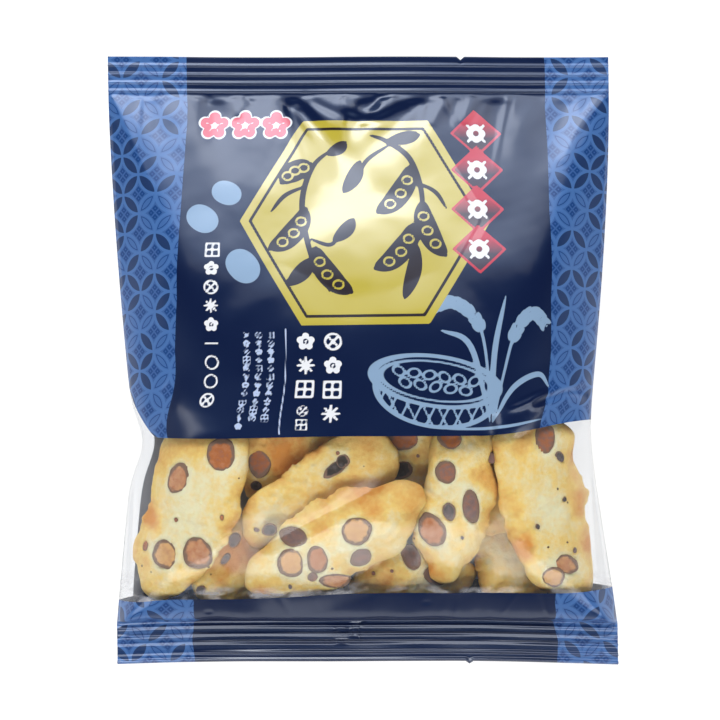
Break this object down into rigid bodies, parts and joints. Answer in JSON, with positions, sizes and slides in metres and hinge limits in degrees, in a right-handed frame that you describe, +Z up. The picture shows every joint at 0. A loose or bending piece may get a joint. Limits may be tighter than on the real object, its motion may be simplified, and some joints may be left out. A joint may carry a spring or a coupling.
{
  "type": "sealed pillow pack of japanese rice crackers",
  "caption": "Sealed pillow pack of rice crackers with whole black soybeans, navy printed film with a clear window, ridged end seals, lying on its back.",
  "frame": {"origin": "on the table under the middle of the pack, which lies on its back", "axes": "+Z up out of the printed front, +Y along the pack to the top seal, +X to the right as the front is read"},
  "size_m": [0.1548, 0.1844, 0.0388],
  "materials": {
    "printed_film": "navy gravure print under a glossy clear outer film, with paler blue side bands, a gold hexagon and red diamonds",
    "clear_film": "clear glossy polypropylene film, unprinted",
    "cracker": "baked puffed rice dough, pale cream with golden toasted edges, matte",
    "black_soybean": "cut roasted black soybean, brown inside a thin dark skin, matte"
  },
  "bodies": {
    "root": {"cracker_pack": "printed_film"}
  },
  "joints": []
}
